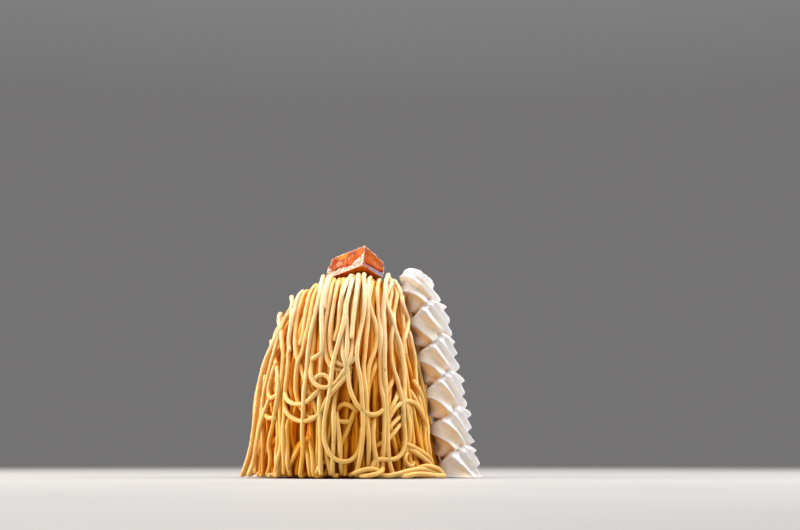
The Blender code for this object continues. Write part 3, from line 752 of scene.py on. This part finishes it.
def crest_of(mesh, rounds, span):
    """How far each point stands out from the surface smoothed over, in millimetres by span, about 0.5 where flat."""
    count = len(mesh.vertices)
    places = vertex_values(mesh, "co") / MM
    ends = np.empty(len(mesh.edges) * 2, np.int64)
    mesh.edges.foreach_get("vertices", ends)
    ends = ends.reshape(-1, 2)
    both = np.concatenate([ends, ends[:, ::-1]])
    degree = np.maximum(np.bincount(both[:, 0], minlength=count), 1)[:, None]
    smooth = places.copy()
    for _ in range(rounds):
        total = np.stack([
            np.bincount(both[:, 0], weights=smooth[both[:, 1], i], minlength=count) for i in range(3)], axis=1)
        smooth = 0.5 * smooth + 0.5 * total / degree
    standing = ((places - smooth) * vertex_values(mesh, "normal")).sum(axis=1)
    return clamp(0.5 + standing / span)


# ---- block ----
BLOCK_DISH = 0.55
BLOCK_VOXEL = 0.18
LEDGE_HEIGHT = 5.0  # over it both ends are set back
FROST_LINE = np.array((
    (0.0, 6.8), (2.0, 5.6), (4.0, 4.8), (6.0, 4.2), (7.0, 2.9), (13.0, 3.1), (17.6, 2.9), (18.6, 4.6), (20.0, 5.0),
))


def field(places, scale, shift=(0, 0, 0)):
    """Smooth noise at each of the places."""
    return np.array([mathnoise.noise(Vector(p) * scale + Vector(shift)) for p in places])


def spot(a, c, middle, reach):
    """1 at the middle of an oval on a face, 0 from its edge on."""
    far = np.hypot((a - middle[0]) / reach[0], (c - middle[1]) / reach[1])
    return 1.0 - eased(far)


def block_mesh(look):
    """The candied block: hollow faces between raised rims, an uneven skin, stepped ends and a frosted band."""
    long, wide, tall = BLOCK_AXES
    corners = []
    for up in (0, 1):
        for right, left in ((0, 0), (1, 0), (1, 1), (0, 1)):
            height = BLOCK_SIZE[2] * (BLOCK_TAPER if right else 1.0)
            corners.append(
                BLOCK_CORNER + long * BLOCK_SIZE[0] * left + wide * BLOCK_SIZE[1] * right + tall * height * up)
    faces = [(0, 3, 2, 1), (4, 5, 6, 7), (0, 1, 5, 4), (1, 2, 6, 5), (2, 3, 7, 6), (3, 0, 4, 7)]
    made = new_object("candied_chestnut", corners, faces)
    remesh = made.modifiers.new("even", "REMESH")
    remesh.mode = "VOXEL"
    remesh.voxel_size = BLOCK_VOXEL * MM
    graph = bpy.context.evaluated_depsgraph_get()
    fine = bpy.data.meshes.new_from_object(made.evaluated_get(graph))
    made.modifiers.clear()
    made.data = fine
    places = vertex_values(fine, "co") / MM
    a, b, c = ((places - BLOCK_CORNER) @ np.linalg.inv(BLOCK_AXES)).T
    tall_here = BLOCK_SIZE[2] * (1.0 + (BLOCK_TAPER - 1.0) * clamp(b / BLOCK_SIZE[1]))
    walls = np.stack([a, BLOCK_SIZE[0] - a, b, BLOCK_SIZE[1] - b, c, tall_here - c], axis=1)
    side = np.argmin(walls, axis=1)
    edge = np.sort(walls, axis=1)[:, 1]  # to the nearest other face, so to the nearest edge
    rough = field(places, 0.32) * 0.45 + field(places, 1.1, (9, 3, 5)) * 0.16
    ragged = 0.9 * field(places, 0.8)
    crumbs = field(places, 2.2)
    chips = np.maximum(0.0, field(places, 0.55, (2, 7, 1)) - 0.12)
    on_right, on_left = side == 0, side == 2
    frost_line = np.interp(a, FROST_LINE[:, 0], FROST_LINE[:, 1]) + 0.8 * ragged
    groove = np.exp(-((c - 2.1 - 0.05 * b) / 0.30) ** 2) * clamp((b - 1.2) / 1.5)
    step_line = np.exp(-((c - frost_line - 0.25) / 0.35) ** 2)
    streaks = 0.8 * spot(a, c, (14.2, 5.3), (3.6, 2.0)) + 1.4 * spot(a + 0.35 * c, c, (12.6, 5.4), (0.5, 1.5))
    streaks += (
        1.4 * spot(a + 0.35 * c, c, (10.6, 6.1), (0.5, 1.2)) + 1.2 * spot(a + 0.3 * c, c, (9.2, 6.9), (0.45, 0.8)))
    hollow = BLOCK_DISH * clamp(edge / 2.6) ** 0.7
    depth = hollow + rough * 0.45 + 0.9 * chips * clamp(1.0 - edge / 1.2)
    depth += np.where(on_right, 0.5 * groove, 0.0) + np.where(on_left, 0.35 * step_line - 0.12 * streaks, 0.0)
    inward = np.zeros(places.shape)
    for wall, pull in enumerate((long, -long, wide, -wide, tall, -tall)):
        inward += clamp(1.0 - walls[:, wall] / 0.5)[:, None] * pull
    inward /= np.maximum(np.linalg.norm(inward, axis=1, keepdims=True), 1e-6)
    set_back = eased((c - LEDGE_HEIGHT + 0.4 * ragged) / 0.9)
    back_a = (1.1 * set_back + 0.10 * np.clip(c, 0, 9)) * clamp((a - 12.9) / 7.8)
    back_b = 1.0 * set_back * clamp((b - 6.0) / 6.5)
    places = places + inward * np.maximum(depth, -0.1)[:, None] - back_a[:, None] * long - back_b[:, None] * wide
    fine.vertices.foreach_set("co", (places * MM).reshape(-1))
    fine.update()

    band = clamp((frost_line - c) / 0.4)
    frost = np.where(on_left, band * (0.72 + 0.5 * clamp(crumbs + 0.35)), 0.0)
    frost = np.where(side == 1, clamp((5.2 + 1.5 * ragged - c) / 1.2), frost)
    pale = np.where(on_left, 0.85 * clamp(streaks + 0.3 * crumbs), 0.0)
    rosy = 0.65 * (1.0 - eased(b / 2.6)) + 0.4 * clamp(crumbs * 1.4 + 0.35) * spot(b, c, (7.0, 4.6), (5.5, 3.6))
    rosy = np.where(on_right, rosy + 0.6 * eased((2.1 + 0.05 * b - c) / 0.4), 0.0)
    # Painted reflection: a lilac sheen along the foot of the right face.
    painted_lilac_reflection = np.where(on_right, eased((1.65 + 0.05 * b - c) / 0.35) * (0.25 + 0.75 * eased((b - 1.5) / 5.0)), 0.0)
    # A darker patch high at the stepped end, and painted shade along the recessed step over the sugared band and in
    # the groove of the right face.
    dark_patch_groove_shade = np.maximum(spot(a, c, (17.6, 6.9), (2.0, 2.6)), 0.8 * step_line * eased((a - 6.0) / 2.0))
    dark_patch_groove_shade = np.maximum(np.where(on_left, dark_patch_groove_shade, 0.0), np.where(on_right, 0.35 * groove, 0.0))
    # Painted light: a bright amber patch high on the left face, where light shines through the candy.
    painted_glow_light = np.where(on_left, spot(a, c, (12.6, 8.2), (4.6, 2.0)), 0.0)
    rim = np.exp(-(edge / 0.30) ** 2) * clamp(0.75 + 1.2 * crumbs)
    rim = np.where((side == 4) | (side == 0) & (c < 1.0), 0.4 * rim, rim)
    marks = (("frost", frost), ("pale", pale), ("rosy", rosy), ("painted_lilac_reflection", painted_lilac_reflection), ("dark_patch_groove_shade", dark_patch_groove_shade), ("painted_glow_light", painted_glow_light),
             ("rim", rim), ("under", np.where(side == 4, 1.0, 0.0)))
    for name, values in marks:
        store(fine, name, clamp(values))
    fine.materials.clear()
    fine.materials.append(look)
    fine.shade_smooth()
    return made


# ---- looks ----
WHITE = (1.0, 1.0, 1.0)


def new_look(name):
    look = bpy.data.materials.new(name)
    look.use_nodes = True
    tree = look.node_tree
    tree.nodes.clear()
    shader = tree.nodes.new("ShaderNodeBsdfPrincipled")
    tree.links.new(shader.outputs[0], tree.nodes.new("ShaderNodeOutputMaterial").inputs[0])
    return look, tree, shader


def set_inputs(node, values):
    for name, value in values.items():
        node.inputs[name].default_value = value


def noise(tree, scale, detail=3.0, roughness=0.55):
    place = tree.nodes.new("ShaderNodeTexCoord")
    texture = tree.nodes.new("ShaderNodeTexNoise")
    set_inputs(texture, {"Scale": scale, "Detail": detail, "Roughness": roughness})
    tree.links.new(place.outputs["Object"], texture.inputs["Vector"])
    return texture.outputs["Fac"]


def height_in(tree, space):
    place = tree.nodes.new("ShaderNodeTexCoord")
    split = tree.nodes.new("ShaderNodeSeparateXYZ")
    tree.links.new(place.outputs[space], split.inputs[0])
    return split.outputs["Z"]


def ramp(tree, value, stops):
    """A colour ramp, with each stop as its place and its colour or its grey."""
    made = tree.nodes.new("ShaderNodeValToRGB")
    while len(made.color_ramp.elements) < len(stops):
        made.color_ramp.elements.new(0.5)
    for element, (place, colour) in zip(made.color_ramp.elements, stops):
        element.position = place
        element.color = (*(colour if isinstance(colour, tuple) else (colour,) * 3), 1.0)
    tree.links.new(value, made.inputs[0])
    return made.outputs[0]


def mixed(tree, a, b, factor, blend="MIX"):
    made = tree.nodes.new("ShaderNodeMix")
    made.data_type = "RGBA"
    made.blend_type = blend
    factor_in, a_in, b_in = made.inputs[0], made.inputs[6], made.inputs[7]
    for socket, value in ((factor_in, factor), (a_in, a), (b_in, b)):
        if hasattr(value, "node"):
            tree.links.new(value, socket)
        elif isinstance(value, tuple):
            socket.default_value = (*value, 1.0)
        else:
            socket.default_value = value
    return made.outputs[2]


def bump(tree, shader, height, strength, distance):
    made = tree.nodes.new("ShaderNodeBump")
    set_inputs(made, {"Strength": strength, "Distance": distance * MM})
    tree.links.new(height, made.inputs["Height"])
    tree.links.new(made.outputs[0], shader.inputs["Normal"])


def attribute(tree, name):
    made = tree.nodes.new("ShaderNodeAttribute")
    made.attribute_name = name
    return made.outputs["Fac"]


def paste_look(name):
    """Sweet chestnut paste: pale on the outermost strands, with painted shade making strands deeper in the heap
    darker, more saturated amber, and painted light from above making them paler towards the crown and more amber
    towards its foot.
    """
    look, tree, shader = new_look(name)
    grain = noise(tree, 1100, 5, 0.65)
    cover = attribute(tree, "cover")
    # Painted shade: the deeper a strand lies in the heap, the darker and more saturated the amber painted on it, for
    # the shade in the gaps.
    painted_shade_low = ramp(tree, cover, (
        (0.0, (0.82, 0.53, 0.155)), (0.22, (0.80, 0.46, 0.075)), (0.45, (0.81, 0.39, 0.026)),
        (0.7, (0.82, 0.325, 0.009)), (1.0, (0.72, 0.225, 0.003))))
    # The same painted shade with depth, in paler colours as painted light from above near the crown.
    painted_light_shade_high = ramp(tree, cover, (
        (0.0, (0.89, 0.695, 0.465)), (0.22, (0.90, 0.645, 0.36)), (0.45, (0.92, 0.585, 0.215)),
        (0.7, (0.945, 0.52, 0.105)), (1.0, (0.92, 0.44, 0.038))))
    # Painted light from above: from 25 to 78 mm high the strands are painted over from the lower colours to the paler
    # upper ones.
    rise = tree.nodes.new("ShaderNodeMapRange")
    set_inputs(rise, {"From Min": 25 * MM, "From Max": 78 * MM})
    tree.links.new(height_in(tree, "Object"), rise.inputs["Value"])
    colour = mixed(tree, painted_shade_low, painted_light_shade_high, rise.outputs[0])
    for value, stops, strength in (
            (attribute(tree, "tint"), ((0.0, (0.95, 0.86, 0.70)), (1.0, WHITE)), 1.0),
            (noise(tree, 160, 3), ((0.3, (0.97, 0.89, 0.75)), (0.65, WHITE)), 1.0),
            (grain, ((0.25, (0.90, 0.86, 0.80)), (0.6, WHITE)), 0.7)):
        colour = mixed(tree, colour, ramp(tree, value, stops), strength, "MULTIPLY")
    specks = ramp(tree, noise(tree, 420, 1, 0.4), ((0.765, 0.0), (0.80, 1.0)))
    colour = mixed(tree, colour, (0.16, 0.045, 0.018), specks)
    tree.links.new(colour, shader.inputs["Base Color"])
    gloss = ramp(tree, cover, ((0.0, 0.55), (0.5, 0.12), (1.0, 0.02)))
    tree.links.new(gloss, shader.inputs["Specular IOR Level"])
    set_inputs(shader, {
        "Roughness": 0.42, "Subsurface Weight": 0.4, "Subsurface Radius": (1.0, 0.6, 0.2),
        "Subsurface Scale": 1.1 * MM})
    bump(tree, shader, grain, 0.6, 0.22)
    return look


def cream_look():
    """Whipped cream, with painted light and shade: painted bluish white highlights on its ridges, painted tan shade
    under them and painted brown shade in the crevices and pockets.
    """
    look, tree, shader = new_look("whipped_cream")
    bubbles = noise(tree, 1500, 3, 0.6)
    # Painted light and shade: bluish white where light falls, painted tan shade and warm thrown light under the
    # ridges.
    colour = ramp(tree, attribute(tree, "painted_warm_shade"), (
        (0.0, (0.82, 0.835, 0.87)), (0.2, (0.84, 0.82, 0.80)), (0.5, (0.91, 0.775, 0.605)),
        (0.9, (0.92, 0.64, 0.33))))
    # Painted brown shade in the pockets and crevices.
    painted_pocket_shade = ramp(tree, attribute(tree, "painted_pocket_shade"), ((0.1, 0.0), (1.0, 0.85)))
    colour = mixed(tree, colour, (0.80, 0.42, 0.11), painted_pocket_shade)
    # Painted highlight: bluish white painted along the ridge crests.
    crest_highlight = ramp(tree, attribute(tree, "crest_highlight"), ((0.58, 0.0), (0.74, 0.9)))
    colour = mixed(tree, colour, (0.84, 0.855, 0.90), crest_highlight)
    mottle = ramp(tree, noise(tree, 90, 3), ((0.3, (0.95, 0.93, 0.90)), (0.7, WHITE)))
    colour = mixed(tree, colour, mottle, 1.0, "MULTIPLY")
    tree.links.new(colour, shader.inputs["Base Color"])
    set_inputs(shader, {
        "Roughness": 0.42, "Specular IOR Level": 0.4, "Subsurface Weight": 0.3,
        "Subsurface Radius": (1.0, 0.62, 0.36), "Subsurface Scale": 0.9 * MM})
    bump(tree, shader, bubbles, 0.12, 0.08)
    return look


def candied_look():
    """Candied sweet: amber with brown clouds, a sugared band and streaks, pale worn rims, a painted lilac reflection
    along the foot of the right face, a painted glow of light high on the left face, a darker patch and painted shade
    along the step and in the groove.
    """
    look, tree, shader = new_look("candied_chestnut")
    clouds = noise(tree, 190, 4, 0.6)
    grain = noise(tree, 1100, 3, 0.6)
    colour = ramp(tree, clouds, (
        (0.30, (0.21, 0.022, 0.001)), (0.44, (0.40, 0.062, 0.002)), (0.56, (0.50, 0.092, 0.002)),
        (0.70, (0.60, 0.16, 0.004))))
    sugar = ramp(tree, grain, (
        (0.36, (0.34, 0.155, 0.085)), (0.5, (0.50, 0.36, 0.28)), (0.62, (0.73, 0.66, 0.60))))
    # Among these marks the glow is painted light, the lilac band a painted reflection and the dark mark partly painted
    # shade.
    for mark, tone in (
            ("painted_glow_light", (0.72, 0.25, 0.004)), ("dark_patch_groove_shade", (0.25, 0.020, 0.001)), ("under", (0.55, 0.14, 0.006)),
            ("rosy", (0.33, 0.12, 0.08)), ("pale", (0.66, 0.34, 0.21)), ("frost", sugar),
            ("painted_lilac_reflection", (0.22, 0.20, 0.29)), ("rim", (0.93, 0.74, 0.62))):
        colour = mixed(tree, colour, tone, attribute(tree, mark))
    tree.links.new(colour, shader.inputs["Base Color"])
    set_inputs(shader, {
        "Roughness": 0.5, "Specular IOR Level": 0.06, "Coat Weight": 0.05, "Coat Roughness": 0.12,
        "Subsurface Weight": 0.1, "Subsurface Radius": (1.0, 0.3, 0.05), "Subsurface Scale": 1.0 * MM})
    bump(tree, shader, grain, 0.35, 0.2)
    return look


# ---- stage ----
def studio():
    look, tree, shader = new_look("pale_floor")
    mottle = ramp(tree, noise(tree, 9, 3), ((0.3, (0.37, 0.358, 0.350)), (0.7, (0.40, 0.388, 0.380))))
    tree.links.new(mottle, shader.inputs["Base Color"])
    set_inputs(shader, {"Roughness": 0.6})
    bpy.ops.mesh.primitive_circle_add(vertices=128, radius=1.6, fill_type="NGON", location=(0, 0, -0.0002))
    floor = bpy.context.active_object
    floor.name = "studio_floor"
    floor.data.materials.append(look)

    world = bpy.data.worlds.new("studio")
    bpy.context.scene.world = world
    world.use_nodes = True
    tree = world.node_tree
    tree.nodes.clear()
    out = tree.nodes.new("ShaderNodeOutputWorld")
    sky = tree.nodes.new("ShaderNodeBackground")
    dim = (0.42, 0.41, 0.41)
    shade = ramp(tree, height_in(tree, "Generated"), ((0.0, dim), (0.28, dim), (0.7, (0.95, 0.95, 0.96))))
    tree.links.new(shade, sky.inputs["Color"])
    set_inputs(sky, {"Strength": 0.42})
    tree.links.new(sky.outputs[0], out.inputs[0])

    def lamp(name, place, target, size, power, colour=(1, 1, 1)):
        light = bpy.data.lights.new(name, "AREA")
        light.shape = "DISK"
        light.size = size
        light.energy = power
        light.color = colour
        obj = linked(name, light)
        obj.location = place
        obj.rotation_euler = (Vector(target) - Vector(place)).to_track_quat("-Z", "Y").to_euler()

    aim = (0.0, 0.0, 0.045)
    lamp("top", (-0.04, 0.04, 0.65), aim, 0.5, 5.3, (1.0, 0.99, 0.97))
    lamp("left_rim", (-0.56, -0.05, 0.22), aim, 0.35, 4.0, (1.0, 0.985, 0.95))
    lamp("right_rim", (0.52, -0.06, 0.36), aim, 0.35, 3.2)
    lamp("front_fill", (-0.22, -0.70, 0.40), aim, 0.6, 1.2, (1.0, 0.98, 0.95))


def camera():
    lens = bpy.data.cameras.new("view")
    lens.sensor_width = SENSOR
    lens.lens = LENS
    lens.clip_start = 0.01
    obj = linked("view", lens)
    obj.location = CAMERA_PLACE * MM
    obj.rotation_euler = (math.radians(90.0) + CAMERA_TILT, 0.0, 0.0)
    bpy.context.scene.camera = obj


camera()
studio()
heap = Heap()
paste = paste_look("chestnut_paste")
core = paste_core(paste)
most = 400
paths = []
for room, over_crown, at_left, at_right in ((DEEP_LAYER, most, most, most), (MIDDLE_LAYER, 26, 24, 20)):
    paths += laid_strands(heap, room, min(most, over_crown), CROWN)
    paths += laid_strands(heap, room, min(most, at_left), turns=LEFT_SIDE)
    paths += laid_strands(heap, room, min(most, at_right), turns=RIGHT_SIDE)
loops = traced_strands(heap)
paths += laid_strands(heap, -0.1, min(most, 16), turns=(math.radians(148), math.radians(214)))
paths += laid_strands(heap, 0.5, min(most, 40), turns=(math.radians(-25), math.radians(60)))
paths += laid_strands(heap, 0.45, min(most, 60), CROWN, back_only=True)
fallen = fallen_strands()
pieces = [core]
for number, start in enumerate(range(0, len(paths), STRANDS_A_PIECE)):
    part = paths[start:start + STRANDS_A_PIECE]
    pieces.append(tube_mesh(f"strands_{number}", part, 8, paste, draw.uniform(0, 1, len(part))))
pieces.append(tube_mesh("strand_loops", loops, 10, paste, draw.uniform(0.4, 1, len(loops))))
pieces.append(tube_mesh("strands_fallen", fallen, 10, paste, draw.uniform(0.3, 1, len(fallen))))
for piece in pieces:
    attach(piece, "root")
    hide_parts("paste_strands")
cream = cream_column(cream_look())
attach(cream, "root")
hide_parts("piped_cream")
block = block_mesh(candied_look())
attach(block, "root")
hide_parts("candied_block")

scene = bpy.context.scene
scene.view_settings.view_transform = "Standard"
scene.view_settings.look = "None"
